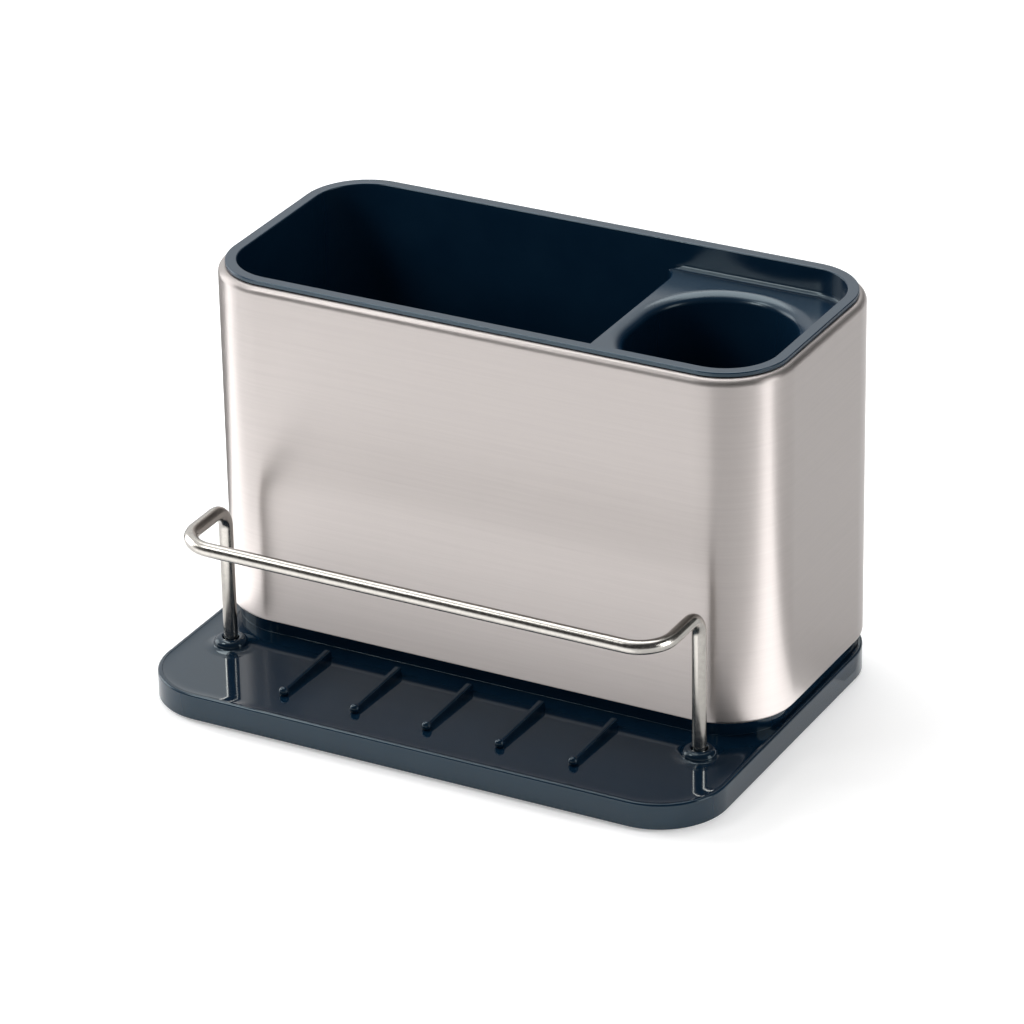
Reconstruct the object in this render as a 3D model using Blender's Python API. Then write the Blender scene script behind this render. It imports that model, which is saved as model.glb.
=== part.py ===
"""Sink organizer: a steel sleeve with a lift-out liner, standing on a drip tray with a wire rail.

Metres, +Z up. The origin is on the surface that the feet stand on, under the middle of the tray.
-Y is the front, where the rail and the drip tray are.
"""
import math

import bmesh
import bpy
from mathutils import Vector

# Steel sleeve, the outline that the plinth and the liner follow
BODY_WIDTH = 0.2000
BODY_DEPTH = 0.0939
BODY_CORNER = 0.0237
STEEL_HEIGHT = 0.11774
STEEL_SHEET = 0.0007
TOP_BEND = 0.0025
FOOT_BEND = 0.0012
TOP_LIP = 0.0038
BOTTOM_LIP = 0.0037

# Drip tray
TRAY_DEPTH = 0.1408
TRAY_FRONT_CORNER = 0.0229
SKIRT_HEIGHT = 0.0089
TRAY_WALL = 0.0024
TRAY_EDGE_ROUND = 0.0009
DISH_BORDER = 0.0014
DISH_SLOPE = 0.0036
DISH_DEPTH = 0.0005

# Plinth and spigot that carry and centre the sleeve, and the well inside them
PLINTH_RISE = 0.00416
PLINTH_INSET = 0.0025
PLINTH_FILLET = 0.0009
SPIGOT_RISE = 0.0028
SPIGOT_WALL = 0.0022
WELL_FLOOR = 0.0022
WELL_FILLET = 0.0016

# Underside of the tray
UNDERSIDE_STEP = 0.0012
BAY_STEP = 0.0004
BAY_COUNT = 4
BAY_CORNER = 0.0012
STIFFENER = 0.0016

# Drain ribs in front of the sleeve
RIB_COUNT = 5
RIB_PITCH = 0.0258
RIB_SETBACK = 0.0139
RIB_BODY_GAP = 0.0048
RIB_FRONT_WIDTH = 0.0016
RIB_BACK_WIDTH = 0.0024
RIB_FRONT_HEIGHT = 0.0021
RIB_BACK_HEIGHT = 0.0029
RIB_END_ROUND = 0.0008
RIB_BALL_RADIUS = 0.0016
RIB_BALL_LIFT = 0.0013

# Wire rail and the moulded collars that hold its legs
WIRE = 0.0046
RAIL_SIDE_SETBACK = 0.0159
RAIL_BODY_GAP = 0.0108
RAIL_REACH = 0.0289
RAIL_RISE = 0.0492
RAIL_TOP_BEND = 0.0070
RAIL_CORNER_BEND = 0.0110
COLLAR_RISE = 0.0032
COLLAR_RADIUS = 0.0056
COLLAR_FACE_RADIUS = 0.0042
COLLAR_DOME = 0.0018
COLLAR_FLARE = 0.0042
COLLAR_FLARE_RISE = 0.0012
COLLAR_MOUTH = 0.0007
SOCKET_FLOOR = 0.0014
SOCKET_WALL = 0.0022

# Rubber feet
FOOT_PROUD = 0.0010
FOOT_RADIUS = 0.0060
FOOT_EDGE_GAP = 0.0110
FOOT_EDGE_ROUND = 0.0003
FOOT_BOSS_BORDER = 0.0012

# Liner
FLANGE_THICKNESS = 0.00135
FLANGE_EDGE = 0.0009
FLANGE_INSET = 0.0023
RIM_FACE_INSET = 0.0027
RIM_INNER_ROUND = 0.0005
LINER_WALL = 0.0019
LINER_FLOOR = 0.0020
LINER_DRAFT = 0.0011
LINER_BOTTOM_ROUND = 0.0012
FLOOR_FILLET = 0.0040
LINER_UNDER_GAP = 0.0022

# Brush end of the liner: a ledge below the rim, with a long hole down to the floor
DIVIDER_LAND = 0.0011
DIVIDER_CORNER = 0.0090
DIVIDER_EDGE_ROUND = 0.0007
LEDGE_DROP = 0.0094
LEDGE_FILLET = 0.0017
LEDGE_SETBACK = 0.00015
LEDGE_THICKNESS = 0.0022
BRUSH_HOLE_SETBACK = 0.0400
BRUSH_HOLE_RADIUS = 0.0297
BRUSH_HOLE_STRAIGHT = 0.0100
BRUSH_HOLE_ROUND = 0.0032

# Drain holes in the liner's floor
DRAIN_RADIUS = 0.0024
DRAIN_PITCH = 0.0190
MAIN_DRAIN_COLUMNS = 5
MAIN_DRAIN_ROWS = 3
BRUSH_DRAIN_ROWS = 3

# Clearances, and how far a cutter runs past what it cuts
SEAT_GAP = 0.0003
SLIDE_GAP = 0.0004
OVERRUN = 0.0020

# Facets
CORNER_STEPS = 10
SMALL_CORNER_STEPS = 4
ROUND_STEPS = 3
CIRCLE_STEPS = 24
DRAIN_STEPS = 10
BALL_RINGS = 6
BEND_STEPS = 8
WIRE_BEVEL_STEPS = 5
SMOOTH_ANGLE = math.radians(35)

# Heights, from the surface that the feet stand on
SKIRT_FOOT = FOOT_PROUD
TRAY_RIM = SKIRT_FOOT + SKIRT_HEIGHT
TRAY_TOP = TRAY_RIM - DISH_DEPTH
UNDER_WELL = SKIRT_FOOT + UNDERSIDE_STEP
WELL_TOP = UNDER_WELL + WELL_FLOOR
PLINTH_TOP = TRAY_RIM + PLINTH_RISE
SPIGOT_TOP = PLINTH_TOP + SPIGOT_RISE
STEEL_FOOT = PLINTH_TOP + SEAT_GAP
STEEL_TOP = STEEL_FOOT + STEEL_HEIGHT
FLANGE_UNDER = STEEL_TOP + SEAT_GAP
RIM_TOP = FLANGE_UNDER + FLANGE_THICKNESS
LINER_FOOT = SPIGOT_TOP + LINER_UNDER_GAP
FLOOR_TOP = LINER_FOOT + LINER_FLOOR
LEDGE_TOP = RIM_TOP - LEDGE_DROP
COLLAR_TOP = TRAY_TOP + COLLAR_RISE
SOCKET_END = UNDER_WELL + SOCKET_FLOOR
RAIL_TOP = TRAY_RIM + RAIL_RISE

# Places from front to back
TRAY_BACK = TRAY_DEPTH / 2
TRAY_FRONT = -TRAY_BACK
BODY_MIDDLE = TRAY_BACK - BODY_DEPTH / 2
BODY_FRONT = TRAY_BACK - BODY_DEPTH
LEG_Y = BODY_FRONT - RAIL_BODY_GAP
LEG_X = BODY_WIDTH / 2 - RAIL_SIDE_SETBACK
BAR_Y = LEG_Y - RAIL_REACH

# The brush hole's middle, and the divider's face on the side of the large compartment
BRUSH_HOLE_X = BODY_WIDTH / 2 - BRUSH_HOLE_SETBACK
DIVIDER_FACE = BRUSH_HOLE_X - BRUSH_HOLE_RADIUS - DIVIDER_LAND

# Insets from the body's outline, towards its middle
SPIGOT_INSET = BOTTOM_LIP + SLIDE_GAP
WELL_INSET = SPIGOT_INSET + SPIGOT_WALL
LINER_INSET = TOP_LIP + SLIDE_GAP
HOLLOW_INSET = LINER_INSET + LINER_WALL


# Outlines seen from above

def arc(centre_x, centre_y, radius, start, end, steps):
    """Points on an arc, from one angle to another, ends included."""
    angles = [start + (end - start) * step / steps for step in range(steps + 1)]
    return [(centre_x + radius * math.cos(a), centre_y + radius * math.sin(a)) for a in angles]


def rounded(left, right, front, back, corners, steps=CORNER_STEPS):
    """A rectangle with rounded corners: front left, front right, back right, back left."""
    front_left, front_right, back_right, back_left = corners
    centres = (
        (left + front_left, front + front_left), (right - front_right, front + front_right),
        (right - back_right, back - back_right), (left + back_left, back - back_left))
    points = []
    start = -math.pi
    for (x, y), radius in zip(centres, corners):
        points += arc(x, y, radius, start, start + math.pi / 2, steps)
        start += math.pi / 2
    return points


def body(inset):
    """The sleeve's outline, drawn in by an inset."""
    corner = BODY_CORNER - inset
    half = BODY_WIDTH / 2 - inset
    return rounded(-half, half, BODY_FRONT + inset, TRAY_BACK - inset, [corner] * 4)


def tray(inset):
    """The tray's outline, drawn in by an inset. Its back follows the sleeve."""
    front_corner = TRAY_FRONT_CORNER - inset
    back_corner = BODY_CORNER - inset
    half = BODY_WIDTH / 2 - inset
    corners = (front_corner, front_corner, back_corner, back_corner)
    return rounded(-half, half, TRAY_FRONT + inset, TRAY_BACK - inset, corners)


def circle(centre_x, centre_y, radius, steps=CIRCLE_STEPS):
    points = arc(centre_x, centre_y, radius, 0, 2 * math.pi, steps)
    return points[:-1]


def stadium(centre_x, centre_y, radius, straight):
    """Two half circles, joined by straight sides that run from front to back."""
    half = straight / 2
    steps = CORNER_STEPS * 2
    points = arc(centre_x, centre_y + half, radius, 0, math.pi, steps)
    points += arc(centre_x, centre_y - half, radius, math.pi, 2 * math.pi, steps)
    return points


def quarter_turn(steps=ROUND_STEPS):
    """Pairs of sine and one minus cosine, which draw a quarter circle from 0, 0 to 1, 1."""
    angles = [math.pi / 2 * step / steps for step in range(steps + 1)]
    return [(math.sin(a), 1 - math.cos(a)) for a in angles]


# Solids made from outlines

def add_loft(mesh, rings):
    """Draw the first ring of points as a face, and extrude it to each of the others in turn."""
    foot = [mesh.verts.new(point) for point in rings[0]]
    face = mesh.faces.new(foot)
    for ring in rings[1:]:
        face = bmesh.ops.extrude_discrete_faces(mesh, faces=[face])['faces'][0]
        for vert, point in zip(face.verts, ring):
            vert.co = point
    mesh.faces.new(foot)


def level(sections):
    """Rings of points from pairs of an outline and its height."""
    return [[(x, y, height) for x, y in points] for points, height in sections]


def finish(name, mesh):
    """Point the faces out, and put the bmesh into a new object."""
    bmesh.ops.recalc_face_normals(mesh, faces=mesh.faces)
    return link(name, mesh)


def link(name, mesh):
    """Put a bmesh into a new object whose round sides are shaded smooth."""
    data = bpy.data.meshes.new(name)
    mesh.to_mesh(data)
    mesh.free()
    data.shade_smooth()
    data.set_sharp_from_angle(angle=SMOOTH_ANGLE)
    solid = bpy.data.objects.new(name, data)
    bpy.context.scene.collection.objects.link(solid)
    return solid


def loft(name, sections):
    """A solid through a stack of outlines."""
    return lofts(name, [sections])


def lofts(name, stacks):
    """Several separate lofts in one object, for a cutter or for pieces that are added together."""
    mesh = bmesh.new()
    for sections in stacks:
        add_loft(mesh, level(sections))
    return finish(name, mesh)


def combine(solid, tool, operation):
    """Add or cut a tool. The tool stays in the file as a wire guide."""
    modifier = solid.modifiers.new(tool.name, 'BOOLEAN')
    modifier.operation = operation
    modifier.solver = 'EXACT'
    modifier.object = tool
    tool.hide_render = True
    tool.display_type = 'WIRE'


def paint(solid, name, colour, roughness, metallic):
    material = bpy.data.materials.get(name) or bpy.data.materials.new(name)
    material.use_nodes = True
    shader = material.node_tree.nodes['Principled BSDF']
    shader.inputs['Base Color'].default_value = (*colour, 1)
    shader.inputs['Roughness'].default_value = roughness
    shader.inputs['Metallic'].default_value = metallic
    solid.data.materials.append(material)


def blue_plastic(solid):
    paint(solid, 'dark_blue_plastic', (0.010, 0.018, 0.030), 0.12, 0)


def brushed_steel(solid):
    paint(solid, 'brushed_steel', (0.62, 0.60, 0.57), 0.32, 1)


def drawn_wire(solid):
    paint(solid, 'drawn_wire', (0.66, 0.65, 0.62), 0.24, 1)


def rubber(solid):
    paint(solid, 'black_rubber', (0.02, 0.02, 0.02), 0.8, 0)


# Drip tray

def tray_slab():
    """The slab with a rounded top edge, and the shallow dish that keeps the water on it."""
    sections = [(tray(0), SKIRT_FOOT)]
    for turn, rise in quarter_turn():
        sections.append((tray(TRAY_EDGE_ROUND * rise), TRAY_RIM - TRAY_EDGE_ROUND * (1 - turn)))
    slab = loft('base_tray', sections)
    dish = loft('dish_cutter', [
        (dish_outline(DISH_BORDER + DISH_SLOPE), TRAY_TOP),
        (dish_outline(DISH_BORDER + DISH_SLOPE / 2), TRAY_TOP + DISH_DEPTH / 4),
        (dish_outline(DISH_BORDER), TRAY_RIM),
        (dish_outline(DISH_BORDER), TRAY_RIM + OVERRUN)])
    combine(slab, dish, 'DIFFERENCE')
    return slab


def dish_outline(inset):
    """The tray's outline in front of the body's middle, so that the dish ends under the plinth."""
    corner = TRAY_FRONT_CORNER - inset
    half = BODY_WIDTH / 2 - inset
    hidden_corner = BODY_CORNER - inset
    corners = (corner, corner, hidden_corner, hidden_corner)
    return rounded(-half, half, TRAY_FRONT + inset, BODY_MIDDLE - inset, corners)


def plinth():
    """The raised block under the sleeve, with a fillet at its foot and the spigot on top."""
    foot_inset = PLINTH_INSET - PLINTH_FILLET
    sections = [(body(foot_inset), TRAY_TOP - OVERRUN)]
    for turn, rise in quarter_turn():
        sections.append((body(foot_inset + PLINTH_FILLET * turn), TRAY_TOP + PLINTH_FILLET * rise))
    sections += [
        (body(PLINTH_INSET), PLINTH_TOP),
        (body(SPIGOT_INSET), PLINTH_TOP),
        (body(SPIGOT_INSET), SPIGOT_TOP)]
    return loft('plinth_block', sections)


def well_cutter():
    """The well that catches what drips from the liner."""
    sections = []
    for turn, rise in quarter_turn():
        sections.append((body(WELL_INSET + WELL_FILLET * (1 - turn)), WELL_TOP + WELL_FILLET * rise))
    sections.append((body(WELL_INSET), SPIGOT_TOP + OVERRUN))
    return loft('well_cutter', sections)


def leg_places():
    return [(-LEG_X, LEG_Y), (LEG_X, LEG_Y)]


def foot_places():
    """Names and centres of the four feet, the same distance in from the tray's sides."""
    reach = FOOT_EDGE_GAP + FOOT_RADIUS
    side = BODY_WIDTH / 2 - reach
    front = TRAY_FRONT + reach
    back = TRAY_BACK - reach
    return [
        ('foot_front_left', -side, front), ('foot_front_right', side, front),
        ('foot_back_left', -side, back), ('foot_back_right', side, back)]


def collars():
    """Domed collars round the rail's legs, which flare out onto the tray."""
    stacks = []
    for x, y in leg_places():
        sections = [(circle(x, y, COLLAR_RADIUS + COLLAR_FLARE), TRAY_TOP - OVERRUN)]
        for turn, rise in quarter_turn():
            radius = COLLAR_RADIUS + COLLAR_FLARE * (1 - turn)
            sections.append((circle(x, y, radius), TRAY_TOP + COLLAR_FLARE_RISE * rise))
        for turn, rise in quarter_turn():
            radius = COLLAR_RADIUS - (COLLAR_RADIUS - COLLAR_FACE_RADIUS) * rise
            sections.append((circle(x, y, radius), COLLAR_TOP - COLLAR_DOME * (1 - turn)))
        stacks.append(sections)
    return lofts('collars', stacks)


def sockets():
    """Blind holes for the rail's legs, with a dished mouth at the top."""
    radius = WIRE / 2 + SEAT_GAP
    stacks = []
    for x, y in leg_places():
        stacks.append([
            (circle(x, y, radius), SOCKET_END),
            (circle(x, y, radius), COLLAR_TOP - COLLAR_MOUTH),
            (circle(x, y, radius + COLLAR_MOUTH / 3), COLLAR_TOP - COLLAR_MOUTH / 3),
            (circle(x, y, radius + COLLAR_MOUTH), COLLAR_TOP),
            (circle(x, y, radius + COLLAR_MOUTH), COLLAR_TOP + OVERRUN)])
    return lofts('socket_cutter', stacks)


def rib_places():
    """Where the ribs stand from left to right, with one in the middle."""
    middle = (RIB_COUNT - 1) / 2
    return [(index - middle) * RIB_PITCH for index in range(RIB_COUNT)]


def rib_section(x, y, width, height):
    """An arched cross-section of a drain rib, from its sunk foot over its round top."""
    half = width / 2
    arch = arc(x, TRAY_TOP + height - half, half, 0, math.pi, SMALL_CORNER_STEPS * 2)
    foot = TRAY_TOP - OVERRUN / 2
    outline = [(x + half, foot)] + arch + [(x - half, foot)]
    return [(across, y, height) for across, height in outline]


def drain_ribs():
    """Five tapered ribs, each with a ball at its front end, that lift a sponge off the tray."""
    mesh = bmesh.new()
    front = TRAY_FRONT + RIB_SETBACK
    back = BODY_FRONT - RIB_BODY_GAP
    for x in rib_places():
        add_loft(mesh, [
            rib_section(x, front, RIB_FRONT_WIDTH, RIB_FRONT_HEIGHT),
            rib_section(x, back - RIB_END_ROUND, RIB_BACK_WIDTH, RIB_BACK_HEIGHT),
            rib_section(x, back, RIB_BACK_WIDTH - RIB_END_ROUND, RIB_BACK_HEIGHT - RIB_END_ROUND)])
    return finish('drain_ribs', mesh)


def rib_balls():
    mesh = bmesh.new()
    for x in rib_places():
        ball = bmesh.ops.create_uvsphere(
            mesh, u_segments=BALL_RINGS * 2, v_segments=BALL_RINGS, radius=RIB_BALL_RADIUS)
        centre = Vector((x, TRAY_FRONT + RIB_SETBACK, TRAY_TOP + RIB_BALL_LIFT))
        bmesh.ops.translate(mesh, verts=ball['verts'], vec=centre)
    return finish('rib_balls', mesh)


def underside_cutters():
    """A shallow step over the whole underside, and deeper bays between stiffeners in front."""
    step = loft('underside_cutter', [
        (tray(TRAY_WALL), SKIRT_FOOT - OVERRUN),
        (tray(TRAY_WALL), UNDER_WELL)])
    inset = TRAY_WALL + BAY_STEP
    left = -BODY_WIDTH / 2 + inset
    width = (BODY_WIDTH - 2 * inset - (BAY_COUNT - 1) * STIFFENER) / BAY_COUNT
    stacks = []
    for index in range(BAY_COUNT):
        start = left + index * (width + STIFFENER)
        corners = [BAY_CORNER] * 4
        if index == 0:
            corners[0] = TRAY_FRONT_CORNER - inset
        if index == BAY_COUNT - 1:
            corners[1] = TRAY_FRONT_CORNER - inset
        outline = rounded(
            start, start + width, TRAY_FRONT + inset, BODY_FRONT + PLINTH_INSET,
            corners, SMALL_CORNER_STEPS)
        stacks.append([(outline, UNDER_WELL - OVERRUN / 2), (outline, TRAY_TOP - TRAY_WALL)])
    bays = lofts('bay_cutter', stacks)
    combine(bays, bosses(), 'DIFFERENCE')
    return step, bays


def bosses():
    """What stays standing in the bays: a boss over each front foot and round each socket."""
    ceiling = TRAY_TOP - TRAY_WALL + OVERRUN
    foot = UNDER_WELL - OVERRUN
    stacks = []
    for x, y in leg_places():
        outline = circle(x, y, WIRE / 2 + SEAT_GAP + SOCKET_WALL)
        stacks.append([(outline, foot), (outline, ceiling)])
    for name, x, y in foot_places():
        if y < BODY_FRONT:
            outline = circle(x, y, FOOT_RADIUS + FOOT_BOSS_BORDER)
            stacks.append([(outline, foot), (outline, ceiling)])
    return lofts('boss_cores', stacks)


def make_base_tray():
    base = tray_slab()
    combine(base, plinth(), 'UNION')
    combine(base, collars(), 'UNION')
    combine(base, drain_ribs(), 'UNION')
    combine(base, rib_balls(), 'UNION')
    combine(base, well_cutter(), 'DIFFERENCE')
    for cutter in underside_cutters():
        combine(base, cutter, 'DIFFERENCE')
    combine(base, sockets(), 'DIFFERENCE')
    blue_plastic(base)


def make_feet():
    for name, x, y in foot_places():
        sections = []
        for turn, rise in quarter_turn():
            radius = FOOT_RADIUS - FOOT_EDGE_ROUND * (1 - turn)
            sections.append((circle(x, y, radius), FOOT_EDGE_ROUND * rise))
        sections.append((circle(x, y, FOOT_RADIUS), UNDER_WELL - SEAT_GAP))
        rubber(loft(name, sections))


# Wire rail

def bend(before, corner, after, radius):
    """Points of an arc that rounds a corner between two straight runs."""
    arriving = (before - corner).normalized()
    leaving = (after - corner).normalized()
    angle = arriving.angle(leaving)
    start = corner + arriving * radius / math.tan(angle / 2)
    centre = corner + (arriving + leaving).normalized() * radius / math.sin(angle / 2)
    axis = arriving.cross(leaving)
    spoke = start - centre
    turn = math.pi - angle
    points = []
    for step in range(BEND_STEPS + 1):
        share = step / BEND_STEPS
        points.append(centre + turned(spoke, axis, -turn * share))
    return points


def turned(vector, axis, angle):
    """A vector turned about an axis that it is square to."""
    across = axis.normalized().cross(vector)
    return vector * math.cos(angle) + across * math.sin(angle)


def make_rail():
    """Two legs, bent forwards at the top and joined by the bar across the front."""
    leg_end = SOCKET_END + SEAT_GAP
    left_leg = [
        Vector((-LEG_X, LEG_Y, leg_end)),
        Vector((-LEG_X, LEG_Y, RAIL_TOP)),
        Vector((-LEG_X, BAR_Y, RAIL_TOP))]
    right_leg = [Vector((-x, y, z)) for x, y, z in reversed(left_leg)]
    route = left_leg + right_leg
    radii = [RAIL_TOP_BEND, RAIL_CORNER_BEND, RAIL_CORNER_BEND, RAIL_TOP_BEND]
    points = [route[0]]
    for index, radius in enumerate(radii):
        points += bend(route[index], route[index + 1], route[index + 2], radius)
    points.append(route[-1])
    data = bpy.data.curves.new('rail', 'CURVE')
    data.dimensions = '3D'
    data.bevel_depth = WIRE / 2
    data.bevel_resolution = WIRE_BEVEL_STEPS
    data.use_fill_caps = True
    spline = data.splines.new('POLY')
    spline.points.add(len(points) - 1)
    for place, point in zip(spline.points, points):
        place.co = (*point, 1)
    rail = bpy.data.objects.new('rail', data)
    bpy.context.scene.collection.objects.link(rail)
    drawn_wire(rail)


# Steel sleeve

def make_sleeve():
    """Sheet bent round the body, with a lip turned in at the top and at the bottom."""
    sections = [(body(BOTTOM_LIP), STEEL_FOOT)]
    for turn, rise in quarter_turn():
        sections.append((body(FOOT_BEND * (1 - turn)), STEEL_FOOT + FOOT_BEND * rise))
    for turn, rise in quarter_turn():
        sections.append((body(TOP_BEND * rise), STEEL_TOP - TOP_BEND * (1 - turn)))
    sections.append((body(TOP_LIP), STEEL_TOP))
    mesh = bmesh.new()
    add_loft(mesh, level(sections))
    ends = [face for face in mesh.faces if len(face.verts) > 4]
    bmesh.ops.recalc_face_normals(mesh, faces=mesh.faces)
    bmesh.ops.delete(mesh, geom=ends, context='FACES_ONLY')
    sleeve = link('steel_sleeve', mesh)
    sheet = sleeve.modifiers.new('sheet', 'SOLIDIFY')
    sheet.thickness = STEEL_SHEET
    sheet.offset = -1
    sheet.use_even_offset = True
    brushed_steel(sleeve)


# Liner

def draft(height):
    """How far the liner's sides have drawn in at a height, because they taper downwards."""
    return LINER_DRAFT * (RIM_TOP - height) / (RIM_TOP - LINER_FOOT)


def liner_shell():
    """The liner's outside: tapered sides, and the flange that hangs on the sleeve's lip."""
    sections = []
    for turn, rise in quarter_turn():
        height = LINER_FOOT + LINER_BOTTOM_ROUND * rise
        sections.append((body(LINER_INSET + draft(height) + LINER_BOTTOM_ROUND * (1 - turn)), height))
    sections += [
        (body(LINER_INSET + draft(FLANGE_UNDER)), FLANGE_UNDER),
        (body(FLANGE_INSET), FLANGE_UNDER)]
    curve_height = FLANGE_THICKNESS - FLANGE_EDGE
    for turn, rise in quarter_turn():
        inset = FLANGE_INSET + (RIM_FACE_INSET - FLANGE_INSET) * rise
        sections.append((body(inset), FLANGE_UNDER + FLANGE_EDGE + curve_height * turn))
    return loft('liner', sections)


def hollow(left, right, inset, left_corner, right_corner):
    """An outline inside the liner, between two X places and as far out as an inset."""
    front = BODY_FRONT + inset
    back = TRAY_BACK - inset
    return rounded(left, right, front, back, (left_corner, right_corner, right_corner, left_corner))


def rim_rounds(outline):
    """The end of a cutter that opens through the rim and rounds its inner edge."""
    sections = []
    for turn, rise in quarter_turn():
        height = RIM_TOP - RIM_INNER_ROUND * (1 - turn)
        sections.append((outline(HOLLOW_INSET + draft(height) - RIM_INNER_ROUND * rise), height))
    top = HOLLOW_INSET - RIM_INNER_ROUND
    sections.append((outline(top), RIM_TOP + OVERRUN))
    return sections


def main_hollow():
    """The large compartment. Its side towards the brush end is the divider's face."""
    def outline(inset, right=DIVIDER_FACE):
        return hollow(-BODY_WIDTH / 2 + inset, right, inset, BODY_CORNER - inset, DIVIDER_CORNER)

    sections = []
    for turn, rise in quarter_turn():
        height = FLOOR_TOP + FLOOR_FILLET * rise
        fillet = FLOOR_FILLET * (1 - turn)
        inset = HOLLOW_INSET + draft(height) + fillet
        sections.append((outline(inset, DIVIDER_FACE - fillet), height))
    for turn, rise in quarter_turn():
        height = LEDGE_TOP - DIVIDER_EDGE_ROUND * (1 - turn)
        right = DIVIDER_FACE + DIVIDER_EDGE_ROUND * rise
        sections.append((outline(HOLLOW_INSET + draft(height), right), height))
    above = DIVIDER_FACE + DIVIDER_EDGE_ROUND
    sections += rim_rounds(lambda inset: outline(inset, above))
    return loft('main_cutter', sections)


def ledge_recess():
    """The space over the brush end, down to the ledge. A fillet joins the ledge to the walls.

    It is a touch narrower than the large compartment, as the two cores of such a mould are.
    """
    left = DIVIDER_FACE - 2 * DIVIDER_CORNER

    def outline(inset):
        inner = inset + LEDGE_SETBACK
        return hollow(left, BODY_WIDTH / 2 - inner, inner, DIVIDER_CORNER, BODY_CORNER - inner)

    sections = []
    for turn, rise in quarter_turn():
        height = LEDGE_TOP + LEDGE_FILLET * rise
        sections.append((outline(HOLLOW_INSET + draft(height) + LEDGE_FILLET * (1 - turn)), height))
    sections += rim_rounds(outline)
    return loft('ledge_cutter', sections)


def brush_outline(radius):
    return stadium(BRUSH_HOLE_X, BODY_MIDDLE, radius, BRUSH_HOLE_STRAIGHT)


def brush_radius(height):
    """The brush hole's radius at a height, below its rounded edge."""
    return BRUSH_HOLE_RADIUS - BRUSH_HOLE_ROUND - draft(height)


def brush_hollow():
    """The brush compartment: a long hole with a fully rounded edge, down to the floor."""
    sections = []
    for turn, rise in quarter_turn():
        height = FLOOR_TOP + FLOOR_FILLET * rise
        sections.append((brush_outline(brush_radius(height) - FLOOR_FILLET * (1 - turn)), height))
    throat = LEDGE_TOP - BRUSH_HOLE_ROUND
    for turn, rise in quarter_turn(ROUND_STEPS * 2):
        radius = brush_radius(throat) + (BRUSH_HOLE_RADIUS - brush_radius(throat)) * rise
        sections.append((brush_outline(radius), throat + BRUSH_HOLE_ROUND * turn))
    sections.append((brush_outline(BRUSH_HOLE_RADIUS), LEDGE_TOP + OVERRUN))
    return loft('brush_cutter', sections)


def brush_surround():
    """The space round the brush compartment's wall, which is open from below."""
    ceiling = LEDGE_TOP - LEDGE_THICKNESS
    left = DIVIDER_FACE + 2 * LINER_WALL

    def outline(height):
        inset = HOLLOW_INSET + draft(height)
        return hollow(left, BODY_WIDTH / 2 - inset, inset, DIVIDER_CORNER, BODY_CORNER - inset)

    foot = LINER_FOOT - OVERRUN
    space = loft('surround_cutter', [(outline(foot), foot), (outline(ceiling), ceiling)])
    tube_foot = foot - OVERRUN
    tube_top = ceiling + OVERRUN
    tube = loft('brush_wall_core', [
        (brush_outline(brush_radius(tube_foot) + LINER_WALL), tube_foot),
        (brush_outline(brush_radius(tube_top) + LINER_WALL), tube_top)])
    combine(space, tube, 'DIFFERENCE')
    return space


def drain_holes():
    """Rows of holes in both floors."""
    centre = (DIVIDER_FACE - BODY_WIDTH / 2 + HOLLOW_INSET) / 2
    places = []
    for column in range(MAIN_DRAIN_COLUMNS):
        x = centre + (column - (MAIN_DRAIN_COLUMNS - 1) / 2) * DRAIN_PITCH
        for row in range(MAIN_DRAIN_ROWS):
            places.append((x, BODY_MIDDLE + (row - (MAIN_DRAIN_ROWS - 1) / 2) * DRAIN_PITCH))
    for row in range(BRUSH_DRAIN_ROWS):
        places.append((BRUSH_HOLE_X, BODY_MIDDLE + (row - (BRUSH_DRAIN_ROWS - 1) / 2) * DRAIN_PITCH))
    stacks = []
    for x, y in places:
        outline = circle(x, y, DRAIN_RADIUS, DRAIN_STEPS)
        stacks.append([(outline, LINER_FOOT - OVERRUN), (outline, FLOOR_TOP + OVERRUN)])
    return lofts('drain_cutter', stacks)


def make_liner():
    liner = liner_shell()
    combine(liner, main_hollow(), 'DIFFERENCE')
    combine(liner, ledge_recess(), 'DIFFERENCE')
    combine(liner, brush_surround(), 'DIFFERENCE')
    combine(liner, brush_hollow(), 'DIFFERENCE')
    combine(liner, drain_holes(), 'DIFFERENCE')
    blue_plastic(liner)


for old in list(bpy.data.objects):
    bpy.data.objects.remove(old)

make_base_tray()
make_feet()
make_rail()
make_sleeve()
make_liner()
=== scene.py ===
"""Looks of a sink organizer: a brushed steel sleeve with a lift-out liner, on a drip tray with a wire rail.

Metres, +Z up. -Y is the front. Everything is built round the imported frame.
"""
import math

import bmesh
import bpy
from mathutils import Matrix, Vector


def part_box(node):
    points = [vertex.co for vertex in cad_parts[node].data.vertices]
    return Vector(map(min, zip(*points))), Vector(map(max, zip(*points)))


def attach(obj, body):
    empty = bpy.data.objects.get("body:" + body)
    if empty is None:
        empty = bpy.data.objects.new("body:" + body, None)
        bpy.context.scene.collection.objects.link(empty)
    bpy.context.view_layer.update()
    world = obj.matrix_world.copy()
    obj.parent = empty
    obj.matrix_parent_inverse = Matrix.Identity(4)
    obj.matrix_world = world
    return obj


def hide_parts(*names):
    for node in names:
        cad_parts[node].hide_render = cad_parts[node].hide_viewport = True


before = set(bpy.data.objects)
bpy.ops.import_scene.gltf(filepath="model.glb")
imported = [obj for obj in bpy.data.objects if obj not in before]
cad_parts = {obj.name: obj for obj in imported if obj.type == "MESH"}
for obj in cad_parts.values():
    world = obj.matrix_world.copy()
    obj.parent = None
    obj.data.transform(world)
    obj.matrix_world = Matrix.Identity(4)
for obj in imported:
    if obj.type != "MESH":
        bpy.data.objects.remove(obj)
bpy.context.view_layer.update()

MM = 0.001

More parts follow.
